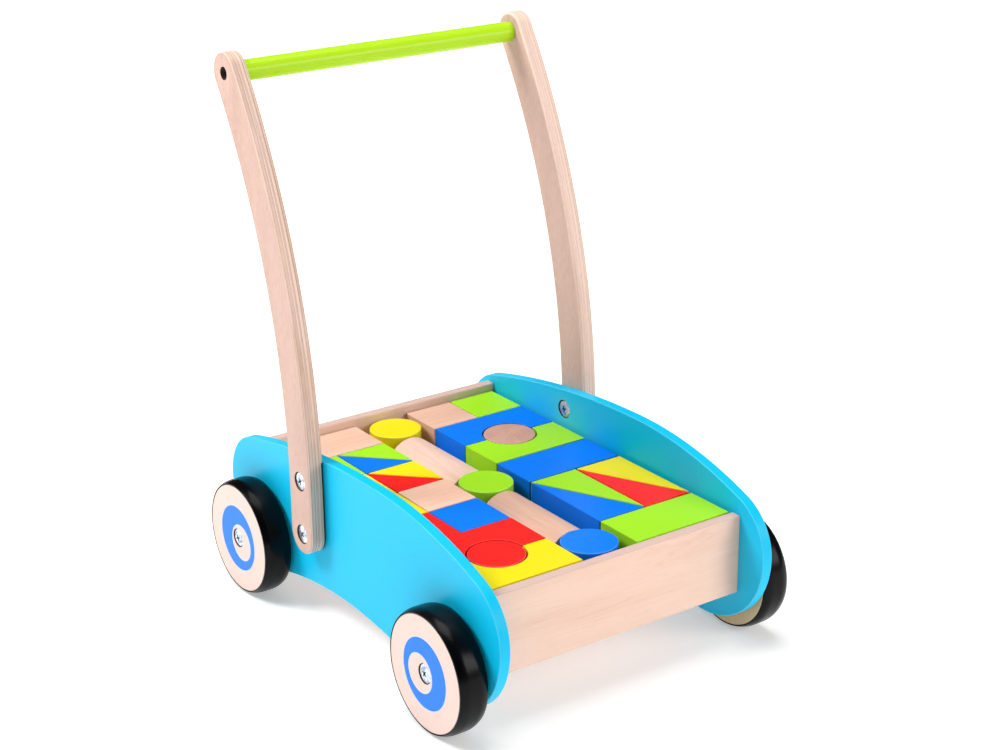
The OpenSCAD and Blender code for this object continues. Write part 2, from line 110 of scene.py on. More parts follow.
class Look:
    """A material's node tree: Principled shader plus short calls that add nodes."""

    def __init__(self, name, **constants):
        self.mat = bpy.data.materials.new(name)
        self.mat.use_nodes = True
        self.tree = self.mat.node_tree
        self.tree.nodes.clear()
        out = self.tree.nodes.new("ShaderNodeOutputMaterial")
        self.bsdf = self.tree.nodes.new("ShaderNodeBsdfPrincipled")
        self.tree.links.new(self.bsdf.outputs[0], out.inputs["Surface"])
        for socket, value in constants.items():
            self.bsdf.inputs[socket.replace("_", " ")].default_value = value

    def put(self, target, value):
        """Links value to a socket if it is a socket, else stores it there."""
        if isinstance(value, bpy.types.NodeSocket):
            self.tree.links.new(value, target)
        else:
            target.default_value = value

    def set(self, **sockets):
        for socket, value in sockets.items():
            self.put(self.bsdf.inputs[socket.replace("_", " ")], value)

    def place(self, centre, order=(X, Y, Z), stretch=(1, 1, 1)):
        """Millimetres from centre, with the axes in the given order, then stretched."""
        coord = self.tree.nodes.new("ShaderNodeTexCoord")
        shift = self.tree.nodes.new("ShaderNodeMapping")
        shift.vector_type = "TEXTURE"
        shift.inputs["Location"].default_value = centre
        shift.inputs["Scale"].default_value = (MM, MM, MM)
        self.tree.links.new(coord.outputs["Object"], shift.inputs["Vector"])
        split = self.split(shift.outputs[0])
        parts = [self.math("MULTIPLY", split[a], s) for a, s in zip(order, stretch)]
        return self.join(*parts)

    def split(self, vector):
        node = self.tree.nodes.new("ShaderNodeSeparateXYZ")
        self.put(node.inputs[0], vector)
        return node.outputs

    def join(self, x, y, z):
        node = self.tree.nodes.new("ShaderNodeCombineXYZ")
        for socket, value in zip(node.inputs, (x, y, z)):
            self.put(socket, value)
        return node.outputs[0]

    def stretch(self, vector, scale):
        node = self.tree.nodes.new("ShaderNodeVectorMath")
        node.operation = "MULTIPLY"
        self.put(node.inputs[0], vector)
        node.inputs[1].default_value = scale
        return node.outputs[0]

    def length(self, vector):
        node = self.tree.nodes.new("ShaderNodeVectorMath")
        node.operation = "LENGTH"
        self.put(node.inputs[0], vector)
        return node.outputs["Value"]

    def math(self, operation, a, b=0.0, c=0.0, clamp=False):
        node = self.tree.nodes.new("ShaderNodeMath")
        node.operation = operation
        node.use_clamp = clamp
        for socket, value in zip(node.inputs, (a, b, c)):
            self.put(socket, value)
        return node.outputs[0]

    def add(self, *values):
        total = values[0]
        for v in values[1:]:
            total = self.math("ADD", total, v)
        return total

    def step(self, value, low, high):
        """0 under low, 1 over high, smooth between."""
        node = self.tree.nodes.new("ShaderNodeMapRange")
        node.interpolation_type = "SMOOTHSTEP"
        self.put(node.inputs["Value"], value)
        node.inputs["From Min"].default_value = low
        node.inputs["From Max"].default_value = high
        return node.outputs[0]

    def crest(self, value, low, top, high):
        """A line: rises from low to top, falls from top to high."""
        fall = self.math("SUBTRACT", 1.0, self.step(value, top, high))
        return self.math("MULTIPLY", self.step(value, low, top), fall)

    def span(self, value, low, high):
        """A 0-1 value moved to low-high."""
        node = self.tree.nodes.new("ShaderNodeMapRange")
        self.put(node.inputs["Value"], value)
        node.inputs["To Min"].default_value = low
        node.inputs["To Max"].default_value = high
        return node.outputs[0]

    def noise(self, vector, scale, detail=3.0, rough=0.55, twist=0.0):
        node = self.tree.nodes.new("ShaderNodeTexNoise")
        self.put(node.inputs["Vector"], vector)
        node.inputs["Scale"].default_value = scale
        node.inputs["Detail"].default_value = detail
        node.inputs["Roughness"].default_value = rough
        node.inputs["Distortion"].default_value = twist
        return node.outputs["Fac"]

    def mix(self, factor, a, b):
        node = self.tree.nodes.new("ShaderNodeMix")
        node.data_type = "RGBA"
        self.put(node.inputs["Factor"], factor)
        self.put(node.inputs[6], a)
        self.put(node.inputs[7], b)
        return node.outputs[2]

    def bump(self, height, strength, distance_mm):
        node = self.tree.nodes.new("ShaderNodeBump")
        node.inputs["Strength"].default_value = strength
        node.inputs["Distance"].default_value = distance_mm * MM
        self.put(node.inputs["Height"], height)
        return node.outputs[0]

    def edge(self):
        """1 on rounded edges, 0 on faces, from the mesh."""
        node = self.tree.nodes.new("ShaderNodeAttribute")
        node.attribute_name = "edge"
        return node.outputs["Fac"]


def paint(name, colour, centre, gloss=0.3):
    """Sprayed lacquer on wood: faint clouding and speckle; on the edges, paler from thinner paint and a
    painted highlight.
    """
    look = Look(name, IOR=1.48, Specular_IOR_Level=0.18)
    at = look.place(centre)
    cloud = look.noise(at, 0.012, 2.0)
    speck = look.noise(at, 0.5, 3.0)
    grain = look.noise(look.stretch(at, (0.05, 1.0, 1.0)), 0.6, 2.0)
    body = look.mix(cloud, shade(colour, 0.97), shade(colour, 1.03))
    body = look.mix(look.math("MULTIPLY", look.step(speck, 0.35, 0.7), 0.35), body, shade(colour, 0.93))
    # Paler edges: thinner paint plus a painted highlight.
    thin = look.math("MULTIPLY", look.edge(), look.span(look.noise(at, 0.15, 3.0), 0.7, 1.1))
    pale = tuple(c + (1 - c) * EDGE_HIGHLIGHT for c in colour[:3]) + (1.0,)
    body = look.mix(look.math("MULTIPLY", thin, 0.8, clamp=True), body, pale)
    height = look.add(look.math("MULTIPLY", speck, 0.7), look.math("MULTIPLY", grain, 0.3))
    look.set(
        Base_Color=body,
        Roughness=look.span(look.noise(at, 0.02, 2.0), gloss - 0.02, gloss + 0.03),
        Normal=look.bump(height, 0.1, 0.02),
    )
    return look.mat


def wood_fields(look, at, ring_mm, wobble_mm, pith, run=0.03):
    """Growth rings, fibres and pore flecks in 0-1. Grain runs along the third axis, and a
    small run draws the fibres out."""
    a, b, c = look.split(at)
    bend = look.noise(look.stretch(at, (1.0, 1.0, 0.22)), 0.03, 2.0)
    bend = look.math("MULTIPLY", look.math("SUBTRACT", bend, 0.5), wobble_mm * 2)
    along_a = look.add(a, pith[0], bend)
    along_b = look.add(b, pith[1])
    ring = look.length(look.join(along_a, along_b, 0.0))
    ring = look.math("FRACT", look.math("DIVIDE", ring, ring_mm))
    late = look.crest(ring, 0.25, 0.9, 1.0)
    fibre = look.noise(look.stretch(at, (1.0, 1.0, run)), 1.1, 4.0, 0.6)
    fleck = look.step(look.noise(look.stretch(at, (1.0, 1.0, 0.14)), 2.4, 1.0), 0.6, 0.72)
    broad = look.noise(look.stretch(at, (1.0, 1.0, 0.1)), 0.06, 2.0)
    return late, fibre, fleck, broad


def wood(name, pale, dark, centre, grain_axis, pith=(60, 25), ring_mm=2.4, wobble_mm=5,
         rings=0.4, fibres=0.6, flecks=0.3, run=0.03, figure=0.0, mottle=0.0, gloss=0.5,
         shine=0.25):
    """Lacquered solid wood or veneer: a solid texture, so ends show rings. Figure adds the
    wavy lines of peeled veneer, and mottle adds cloudy patches."""
    look = Look(name, IOR=1.45, Specular_IOR_Level=shine)
    order = OTHER_AXES[grain_axis] + (grain_axis,)
    at = look.place(centre, order)
    late, fibre, fleck, broad = wood_fields(look, at, ring_mm, wobble_mm, pith, run)
    fibre_c = look.step(fibre, 0.3, 0.75)
    wave = look.noise(look.stretch(at, (0.5, 1.0, 0.08)), 0.06, 2.0, 0.45)
    line = look.crest(look.math("FRACT", look.math("MULTIPLY", wave, 13.0)), 0.6, 0.93, 1.0)
    patch = look.step(look.noise(look.stretch(at, (1.0, 1.0, 0.25)), 0.03, 2.0), 0.38, 0.68)
    cloud = look.noise(look.stretch(at, (1.0, 1.0, 0.45)), 0.28, 3.0)
    tone = look.add(
        look.math("MULTIPLY", late, rings),
        look.math("MULTIPLY", fibre_c, fibres),
        look.math("MULTIPLY", fleck, flecks),
        look.math("MULTIPLY", look.math("SUBTRACT", broad, 0.5), 0.8),
        look.math("MULTIPLY", look.math("MULTIPLY", line, patch), figure),
        look.math("MULTIPLY", look.math("SUBTRACT", cloud, 0.45), mottle),
    )
    tone = look.math("MULTIPLY", tone, 0.9, clamp=True)
    body = look.mix(tone, pale, dark)
    # Rounded edges paler: partly wear, partly a painted highlight.
    worn_and_highlight = look.math("MULTIPLY", look.edge(), 0.5)
    body = look.mix(worn_and_highlight, body, shade(pale, 1.15))
    height = look.add(look.math("MULTIPLY", fibre, 0.7), look.math("MULTIPLY", fleck, -0.4))
    look.set(
        Base_Color=body,
        Roughness=look.span(fibre, gloss - 0.05, gloss + 0.12),
        Normal=look.bump(height, 0.25, 0.08),
    )
    return look.mat


def ply_edge(name, pale, dark, centre, thick_axis, long_axis, low, high, plies, depth=1.0,
             joint=None):
    """Cut edge of plywood: uneven plies, glue lines and a few dark voids. Its last argument is
    (side, top, slope): a painted shadow darkens the edge next to the panel on that side, up to a sloped
    line."""
    look = Look(name, IOR=1.45, Specular_IOR_Level=0.3)
    third = ({X, Y, Z} - {thick_axis, long_axis}).pop()
    at = look.place(centre, (thick_axis, third, long_axis))
    w, across, along = look.split(at)
    drift = look.noise(look.stretch(at, (0.0, 0.2, 0.2)), 0.05, 2.0)
    drift = look.math("MULTIPLY", look.math("SUBTRACT", drift, 0.5), 0.3)
    level = look.math("DIVIDE", look.add(w, drift, -low), (high - low) / plies)
    sway = look.math("SINE", look.math("MULTIPLY", level, 1.9))
    level = look.math("ADD", level, look.math("MULTIPLY", sway, 0.3))
    cell = look.math("FLOOR", level)
    inner = look.math("FRACT", level)
    odd = look.math("MODULO", look.math("ABSOLUTE", cell), 2.0)
    rim = look.math("MINIMUM", inner, look.math("SUBTRACT", 1.0, inner))
    row = look.join(look.math("MULTIPLY", cell, 7.3), 0.0, along)
    tint = look.noise(look.stretch(row, (1.0, 1.0, 0.012)), 1.0, 3.0)
    warmth = look.noise(look.stretch(row, (1.7, 1.0, 0.008)), 1.0, 2.0)
    streak = look.noise(look.stretch(at, (1.6, 1.0, 0.05)), 1.3, 3.0)
    glue = look.math("SUBTRACT", 1.0, look.step(rim, 0.05, 0.24))
    patchy = look.step(look.noise(look.stretch(row, (2.3, 1.0, 0.002)), 1.0), 0.3, 0.6)
    glue = look.math("MULTIPLY", glue, patchy)
    tone = look.add(
        look.math("MULTIPLY", odd, 0.3 * depth),
        look.math("MULTIPLY", look.math("SUBTRACT", tint, 0.45), 1.0 * depth),
        look.math("MULTIPLY", look.step(streak, 0.35, 0.75), 0.2),
    )
    tone = look.math("ADD", tone, 0.0, clamp=True)
    body = look.mix(tone, pale, dark)
    body = look.mix(look.math("MULTIPLY", look.step(warmth, 0.45, 0.65), 0.28 * depth), body, PLY_OCHRE)
    body = look.mix(look.math("MULTIPLY", glue, 0.75 * depth), body, shade(dark, 0.45))
    spot = look.step(look.noise(look.stretch(row, (1.0, 1.0, 0.035)), 1.0, 2.0), 0.7, 0.76)
    spot = look.math("MULTIPLY", spot, look.step(rim, 0.1, 0.3))
    body = look.mix(look.math("MULTIPLY", spot, 0.6 * depth), body, shade(dark, 0.25))
    # Painted shadow: the ply edge is darkened where it meets the side panel, below the panel's top line.
    if joint:
        side, top, slope = joint
        over = look.add(along, look.math("MULTIPLY", across, -slope), -top)
        crevice_shade = look.step(look.math("MULTIPLY", w, side), high - 2.4, high - 1.7)
        under = look.math("SUBTRACT", 1.0, look.step(over, -1.5, 0.0))
        body = look.mix(look.math("MULTIPLY", crevice_shade, under), body, BORE_SHADE_DARK)
    height = look.add(look.math("MULTIPLY", glue, -0.6), look.math("MULTIPLY", streak, 0.4))
    look.set(
        Base_Color=body,
        Roughness=look.span(streak, 0.48, 0.66),
        Normal=look.bump(height, 0.3, 0.1),
    )
    return look.mat


def wheel_print(name, centre, inner_centre):
    """Wheel face: pale wood with an eccentric blue ring printed on it."""
    look = Look(name, IOR=1.47, Specular_IOR_Level=0.25)
    at = look.place(centre, (Y, Z, X))
    late, fibre, fleck, broad = wood_fields(
        look, look.place(centre, (X, Y, Z)), 3.2, 5, (30, 90), 0.1)
    tone = look.add(
        look.math("MULTIPLY", late, 0.08),
        look.math("MULTIPLY", look.step(fibre, 0.35, 0.75), 0.4),
        look.math("MULTIPLY", look.math("SUBTRACT", broad, 0.5), 0.7),
    )
    ground = look.mix(look.math("MULTIPLY", tone, 0.8, clamp=True), WHEEL_PALE, WHEEL_DARK)
    y, z, _ = look.split(at)
    outer = look.length(look.join(y, z, 0.0))
    inner = look.length(look.join(look.add(y, -inner_centre[0]), look.add(z, -inner_centre[1]), 0.0))

    def inside(distance, radius):
        return look.math("SUBTRACT", 1.0, look.step(distance, radius - 0.1, radius + 0.1))

    in_disc = inside(outer, RING_OUTER)
    in_edge = inside(inner, RING_INNER + RING_LINE)
    in_core = inside(inner, RING_INNER)
    mottle = look.noise(at, 0.4, 3.0)
    ink = look.mix(mottle, shade(PRINT_BLUE, 0.96), shade(PRINT_BLUE, 1.05))
    body = look.mix(inside(outer, RING_OUTER + RING_LINE * 0.7), ground, PRINT_EDGE)
    body = look.mix(in_disc, body, ink)
    body = look.mix(in_edge, body, PRINT_EDGE)
    body = look.mix(in_core, body, ground)
    height = look.add(look.math("MULTIPLY", fibre, 0.5), look.math("MULTIPLY", in_disc, 0.3))
    look.set(
        Base_Color=body,
        Roughness=look.span(fibre, 0.36, 0.48),
        Normal=look.bump(height, 0.12, 0.06),
    )
    return look.mat


def rubber(name, centre):
    """Glossy black tyre with faint moulding lines and dust."""
    look = Look(name, IOR=1.5, Specular_IOR_Level=0.12)
    at = look.place(centre)
    cloud = look.noise(at, 0.05, 3.0)
    fine = look.noise(at, 1.2, 3.0)
    body = look.mix(cloud, linear(2, 2, 4), linear(6, 6, 9))
    look.set(
        Base_Color=body,
        Roughness=look.span(cloud, 0.2, 0.3),
        Normal=look.bump(fine, 0.1, 0.05),
    )
    return look.mat


def shaded_bore_wood(name, centre):
    """Raw wood in a counterbore, darkened as painted shade."""
    return wood(name, BORE_SHADE_PALE, BORE_SHADE_DARK, centre, Z, rings=0.1, fibres=0.5, mottle=0.6, gloss=0.75)


def zinc(name, centre, metal=1.0):
    """Bright zinc plate: brushed turning marks and a light tarnish; less metal is duller."""
    look = Look(name, Metallic=metal)
    at = look.place(centre)
    cloud = look.noise(at, 0.25, 3.0)
    fine = look.noise(at, 3.0, 2.0)
    body = look.mix(look.step(cloud, 0.35, 0.65), linear(150, 158, 174), linear(222, 228, 238))
    look.set(
        Base_Color=body,
        Roughness=look.span(cloud, 0.2, 0.32),
        Normal=look.bump(fine, 0.08, 0.03),
    )
    return look.mat


def recess_dark_zinc(name, centre):
    """Dull, darkened zinc inside a cross recess."""
    look = Look(name, Metallic=0.4)
    at = look.place(centre)
    cloud = look.noise(at, 0.8, 3.0)
    look.set(
        Base_Color=look.mix(cloud, linear(40, 48, 66), linear(92, 106, 134)),
        Roughness=look.span(cloud, 0.5, 0.7),
        Normal=look.bump(cloud, 0.1, 0.03),
    )
    return look.mat


# --------------------------------------------------------------------------- outlines


def loops_at(node, axis, value):
    """Boundary loops of a CAD node's flat faces in the plane axis = value, longest first."""
    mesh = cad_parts[node].data
    directed = set()
    for poly in mesh.polygons:
        points = [mesh.vertices[i].co for i in poly.vertices]
        if all(abs(p[axis] - value) < 1e-5 for p in points):
            keys = [tuple(round(c, 6) for c in p) for p in points]
            directed.update(zip(keys, keys[1:] + keys[:1]))
    follow = {a: b for a, b in directed if (b, a) not in directed}
    loops = []
    while follow:
        start = min(follow)
        loop, at = [start], follow.pop(start)
        while at != start:
            loop.append(at)
            at = follow.pop(at)
        loops.append([Vector(p) for p in loop])
    return sorted(loops, key=lambda l: -sum((a - b).length for a, b in zip(l, l[1:] + l[:1])))


def flat(loop, axis):
    """A 3-D loop as 2-D points, counter-clockwise."""
    u, v = OTHER_AXES[axis]
    points = [Vector((p[u], p[v])) for p in loop]
    area = sum(a.cross(b) for a, b in zip(points, points[1:] + points[:1]))
    return points if area > 0 else points[::-1]


def refine(points, parts=3, corner=math.radians(25)):
    """Splits the segments of a curved outline on a smooth curve, and keeps its corners."""
    n = len(points)
    ways = [points[(i + 1) % n] - points[i] for i in range(n)]

    def tangent(i):
        before, after = ways[i - 1], ways[i]
        if before.angle(after) > corner:
            return None
        if before.length > 3 * after.length:
            return before.normalized()
        if after.length > 3 * before.length:
            return after.normalized()
        mixed = before.normalized() * after.length + after.normalized() * before.length
        return mixed.normalized()

    out = []
    for i in range(n):
        a, way = points[i], ways[i]
        out.append(a)
        ta, tb = tangent(i), tangent((i + 1) % n)
        if ta is None and tb is None:
            continue
        chord = way.normalized()
        ta = ta if ta is not None else 2 * chord.dot(tb) * chord - tb
        tb = tb if tb is not None else 2 * chord.dot(ta) * chord - ta
        if ta.angle(way) < 1e-4 and tb.angle(way) < 1e-4:
            continue
        for k in range(1, parts):
            t = k / parts
            b = points[(i + 1) % n]
            out.append(
                a * (2 * t**3 - 3 * t**2 + 1)
                + ta * way.length * (t**3 - 2 * t**2 + t)
                + b * (-2 * t**3 + 3 * t**2)
                + tb * way.length * (t**3 - t**2)
            )
    return out


def inset(points, distance):
    """A smooth counter-clockwise outline moved inwards by distance."""
    out = []
    for i, p in enumerate(points):
        before = (p - points[i - 1]).normalized()
        after = (points[(i + 1) % len(points)] - p).normalized()
        way = (before + after).normalized()
        normal = Vector((-way.y, way.x))
        out.append(p + normal * distance / max(0.3, way.dot(after)))
    return out


def circle(centre, radius, n=64):
    angles = (2 * math.pi * i / n for i in range(n))
    return [Vector((centre[0] + radius * math.cos(a), centre[1] + radius * math.sin(a))) for a in angles]


# --------------------------------------------------------------------------- meshes

ROUND_STEPS = 4


def point3(axis, uv, w):
    """A 3-D point from the two coordinates of the plane across axis, and one along it."""
    u, v = OTHER_AXES[axis]
    p = [0.0, 0.0, 0.0]
    p[u], p[v], p[axis] = uv[0], uv[1], w
    return Vector(p)


def bridge(bm, ring_a, ring_b, slot=0):
    n = len(ring_a)
    for i in range(n):
        j = (i + 1) % n
        face = bm.faces.new((ring_a[i], ring_a[j], ring_b[j], ring_b[i]))
        face.material_index = slot


def set_edge(bm, verts, value):
    layer = bm.verts.layers.float.get("edge") or bm.verts.layers.float.new("edge")
    for v in verts:
        v[layer] = value


def new_mesh():
    bm = bmesh.new()
    bm.verts.layers.float.new("edge")
    return bm


def ring_verts(bm, axis, points, w, edge=0.0):
    verts = [bm.verts.new(point3(axis, p, w)) for p in points]
    set_edge(bm, verts, edge)
    return verts


def plate(axis, outline, low, high, radii, pockets=(), edge_slot=0, shaded_bore_slot=0):
    """A flat board; radii round its low and high face. A pocket is (centre, radius, depth,
    face), where face is "low" or "high"; it has a rounded rim and a flat bottom."""
    bm = new_mesh()

    def rounding(radius, face, way):
        for k in range(ROUND_STEPS + 1):
            a = math.pi / 2 * k / ROUND_STEPS
            points = inset(outline, radius * (1 - math.sin(a)))
            yield ring_verts(bm, axis, points, face + way * radius * (1 - math.cos(a)), math.sin(2 * a))

    rings_low = list(rounding(radii[0], low, 1))
    rings_high = list(rounding(radii[1], high, -1))
    for rings in (rings_low, rings_high):
        for a, b in zip(rings, rings[1:]):
            bridge(bm, a, b, edge_slot)
    bridge(bm, rings_low[-1], rings_high[-1], edge_slot)
    for face, w, sign, first in (("low", low, 1, rings_low[0]), ("high", high, -1, rings_high[0])):
        rims = [first]
        for centre, r, depth, where in pockets:
            if where != face:
                continue
            lip = min(0.35 * MM, depth / 4)
            rim = [ring_verts(bm, axis, circle(centre, r + lip * k), w + sign * lip * d, 0.6)
                   for k, d in ((1.0, 0.0), (0.3, 0.3), (0.0, 1.0))]
            rim.append(ring_verts(bm, axis, circle(centre, r), w + sign * depth))
            for a, b in zip(rim, rim[1:]):
                bridge(bm, a, b, shaded_bore_slot if b is rim[-1] else 0)
            bm.faces.new(rim[-1]).material_index = shaded_bore_slot
            rims.append(rim[0])
        edges = [bm.edges.get((ring[i], ring[i - 1])) or bm.edges.new((ring[i], ring[i - 1]))
                 for ring in rims for i in range(len(ring))]
        bmesh.ops.triangle_fill(bm, edges=edges, use_beauty=True, use_dissolve=False)
    return bm


def prism(outline, low, high, radius, axis=Z, segments=3):
    """An outline with corners, raised along axis, with every hard edge rounded."""
    bm = new_mesh()
    bottom = ring_verts(bm, axis, outline, low)
    top = ring_verts(bm, axis, outline, high)
    bridge(bm, bottom, top)
    bm.faces.new(bottom)
    bm.faces.new(top)
    bmesh.ops.recalc_face_normals(bm, faces=bm.faces)
    hard = [e for e in bm.edges if e.calc_face_angle(0.0) > math.radians(25)]
    made = bmesh.ops.bevel(
        bm, geom=hard, offset=radius, offset_type="OFFSET", segments=segments,
        profile=0.5, affect="EDGES", clamp_overlap=True,
    )
    flat_area = (2 * radius) ** 2
    on_flat = {v for f in bm.faces if f.calc_area() > flat_area for v in f.verts}
    set_edge(bm, [v for f in made["faces"] for v in f.verts if v not in on_flat], 1.0)
    return bm


def rounded_profile(corners, steps=4):
    """Polyline of (r, h) corners, each with a rounding radius as its third number."""
    out = []
    for i, (r, h, k) in enumerate(corners):
        p = Vector((r, h))
        if k <= 0 or i in (0, len(corners) - 1):
            out.append((p, 0.0))
            continue
        to_a = (Vector(corners[i - 1][:2]) - p)
        to_b = (Vector(corners[i + 1][:2]) - p)
        half = to_a.angle(to_b) / 2
        reach = min(k / math.tan(half), to_a.length * 0.49, to_b.length * 0.49)
        a, b = p + to_a.normalized() * reach, p + to_b.normalized() * reach
        for s in range(steps + 1):
            t = s / steps
            w = 1 / math.sqrt(2)
            low, mid, high = (1 - t) ** 2, 2 * t * (1 - t) * w, t * t
            q = (a * low + p * mid + b * high) / (low + mid + high)
            out.append((q, math.sin(math.pi * t)))
    return out


def lathe(bm, profile, place, n=96, slots=None):
    """Turns (point, edge) pairs of a profile round local Z. slots gives a material per band."""
    rings = []
    for q, edge in profile:
        if q[0] < 1e-7:
            verts = [bm.verts.new(place @ Vector((0, 0, q[1])))]
        else:
            verts = [
                bm.verts.new(place @ Vector((q[0] * math.cos(a), q[0] * math.sin(a), q[1])))
                for a in (2 * math.pi * i / n for i in range(n))
            ]
        set_edge(bm, verts, edge)
        rings.append(verts)
    for band, (a, b) in enumerate(zip(rings, rings[1:])):
        slot = slots[band] if slots else 0
        for i in range(n):
            j = (i + 1) % n
            corners = [a[i % len(a)], a[j % len(a)], b[j % len(b)], b[i % len(b)]]
            unique = list(dict.fromkeys(corners))
            bm.faces.new(unique).material_index = slot
    return bm


def outward(side, x, y, z):
    """Local Z points away from the cart on that side; its origin is at (side * x, y, z)."""
    turn = Matrix.Rotation(side * math.pi / 2, 4, "Y")
    return Matrix.Translation((side * x, y, z)) @ turn


def finish_mesh(bm, name, materials, body, slot, stands_for=None):
    """Makes the object, smooth with weighted normals, and hangs it on its body."""
    bmesh.ops.recalc_face_normals(bm, faces=bm.faces)
    mesh = bpy.data.meshes.new(name)
    bm.to_mesh(mesh)
    bm.free()
    mesh.polygons.foreach_set("use_smooth", [True] * len(mesh.polygons))
    obj = bpy.data.objects.new(name, mesh)
    bpy.context.scene.collection.objects.link(obj)
    for m in materials:
        mesh.materials.append(m)
    normals = obj.modifiers.new("normals", "WEIGHTED_NORMAL")
    normals.mode = "FACE_AREA_WITH_ANGLE"
    normals.weight = 50
    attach(obj, body)
    if stands_for:
        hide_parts(stands_for)
    return obj


def middle(low, high):
    return (low + high) / 2


# --------------------------------------------------------------------------- sizes

PANEL_ROUND = 0.8 * MM
UPRIGHT_ROUND = 1.2 * MM
UPRIGHT_BACK_ROUND = 2.2 * MM
BOARD_ROUND = 1.0 * MM
BLOCK_ROUND = 0.75 * MM
PILLAR_ROUND = 0.75 * MM
LOG_ROUND = 0.9 * MM
GAP_TRIM = 0.22 * MM
PILLAR_TRIM = 0.3 * MM
POCKET_R = 7.9 * MM
HEAD_DEEP = 2.5 * MM
HEAD_R = 7.3 * MM
HEAD_RIM = 1.5 * MM
DOME = 0.9 * MM
BARREL_R = 4.0 * MM
THREAD_R = 3.0 * MM
TYRE_ROUND = 16 * MM
TYRE_LIP = 1.1 * MM
SCREW_POCKET_R = 5.2 * MM
SCREW_POCKET = 5.5 * MM
SCREW_HEAD_R = 4.5 * MM
SCREW_HEAD_T = 2.2 * MM
RING_OUTER = 27.5
RING_INNER = 14.7
RING_LINE = 0.8
PLIES = 7
FOOT_HALF = 16 * MM
PLY_DEPTH = {-1: 0.8, 1: 0.35}

left_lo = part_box("left_side_panel")[0]
right_lo, right_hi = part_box("right_side_panel")
HALF_TRAY, PANEL_X = right_lo.x, right_hi.x
UPRIGHT_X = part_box("right_upright")[1].x
wheel_lo, wheel_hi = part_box("front_right_wheel")
WHEEL_IN, WHEEL_OUT = wheel_lo.x, wheel_hi.x
AXLE_Y, AXLE_Z = abs(middle(wheel_lo.y, wheel_hi.y)), middle(wheel_lo.z, wheel_hi.z)
DISC_R = (wheel_hi.z - wheel_lo.z) / 2
bar_lo, bar_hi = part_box("handle_bar")
BAR_Y, BAR_Z = middle(bar_lo.y, bar_hi.y), middle(bar_lo.z, bar_hi.z)
BAR_R = (bar_hi.z - bar_lo.z) / 2
nuts_lo, nuts_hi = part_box("upright_nuts")
BOLT_Y = middle(nuts_lo.y, nuts_hi.y)
NUT_R = (nuts_hi.y - nuts_lo.y) / 2
BOLT_ZS = (nuts_lo.z + NUT_R, nuts_hi.z - NUT_R)
SIDES = (-1, 1)
AXLES = [(s * AXLE_Y, AXLE_Z) for s in SIDES]
BOLTS = [(BOLT_Y, z) for z in BOLT_ZS]

# --------------------------------------------------------------------------- boards


def make_side_panel(side, node):
    lo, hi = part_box(node)
    outer_face = lo.x if side < 0 else hi.x
    outline = refine(flat(loops_at(node, X, outer_face)[0], X))
    inner = "high" if side < 0 else "low"
    pockets = [(p, POCKET_R, HEAD_DEEP, inner) for p in BOLTS + AXLES]
    bm = plate(X, outline, lo.x, hi.x, (PANEL_ROUND, PANEL_ROUND), pockets, shaded_bore_slot=1)
    centre = middle(lo, hi)
    # The counterbores get painted shade.
    looks = [paint(f"sky_paint_{node}", SKY, centre, 0.38), shaded_bore_wood(f"bore_{node}", centre)]
    finish_mesh(bm, f"{node}_painted", looks, "frame", "sky_paint", node)


def panel_top_line(centre):
    """Height over centre in mm and slope of the panels' top edge, behind an upright."""
    loop = loops_at("left_side_panel", X, left_lo.x)[0]
    tops = [p for p in loop if p.z > AXLE_Z * 2]
    near, far = (
        min(tops, key=lambda p: abs(p.y - y)) for y in (BOLT_Y - FOOT_HALF, BOLT_Y + FOOT_HALF)
    )
    slope = (far.z - near.z) / (far.y - near.y)
    return (near.z + slope * (centre.y - near.y) - centre.z) / MM, slope


def make_upright(side, node):
    lo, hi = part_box(node)
    outer_face = lo.x if side < 0 else hi.x
    outline = refine(flat(loops_at(node, X, outer_face)[0], X))
    outer = "low" if side < 0 else "high"
    pockets = [(p, POCKET_R, HEAD_DEEP, outer) for p in BOLTS]
    pockets.append(((BAR_Y, BAR_Z), SCREW_POCKET_R, SCREW_POCKET, outer))
    radii = (UPRIGHT_ROUND, UPRIGHT_BACK_ROUND)[::-side]
    bm = plate(X, outline, lo.x, hi.x, radii, pockets, edge_slot=1, shaded_bore_slot=2)
    centre = middle(lo, hi)
    face = wood(f"veneer_{node}", FOOT_PALE, FOOT_DARK, centre, Z, pith=(25, 70), ring_mm=4.0,
                wobble_mm=7, rings=0.06, fibres=0.4, flecks=0.3, run=0.13, mottle=0.45)
    half = (hi.x - lo.x) / 2 / MM
    # The plies get a painted shadow where they meet the side panel; the pockets get painted shade.
    cut = ply_edge(f"plies_{node}", PLY_PALE, PLY_DARK, centre, X, Z, -half, half, PLIES,
                   depth=PLY_DEPTH[side], joint=(-side, *panel_top_line(centre)))
    looks = [face, cut, shaded_bore_wood(f"bore_{node}", centre)]
    finish_mesh(bm, f"{node}_plywood", looks, "frame", "birch_ply", node)


def make_board(node, pith, radius=BOARD_ROUND):
    """Front and rear boards: veneer on the faces, plies along the top edge."""
    lo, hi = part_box(node)
    centre = middle(lo, hi)
    outline = [Vector(p) for p in ((lo.x, lo.z), (hi.x, lo.z), (hi.x, hi.z), (lo.x, hi.z))]
    bm = prism(outline, lo.y, hi.y, radius, axis=Y)
    for f in bm.faces:
        if abs(f.normal.z) > 0.7:
            f.material_index = 1
    face = wood(f"veneer_{node}", BIRCH_PALE, BIRCH_DARK, centre, X, pith=pith, ring_mm=5.0,
                wobble_mm=22, rings=0.03, fibres=0.25, flecks=0.12, figure=0.3, mottle=0.2)
    half = (hi.y - lo.y) / 2 / MM
    cut = ply_edge(f"plies_{node}", BOARD_EDGE, BOARD_EDGE_DARK, centre, Y, X, -half,
                   half, 7, depth=0.3)
    finish_mesh(bm, f"{node}_plywood", [face, cut], "frame", "birch_ply", node)


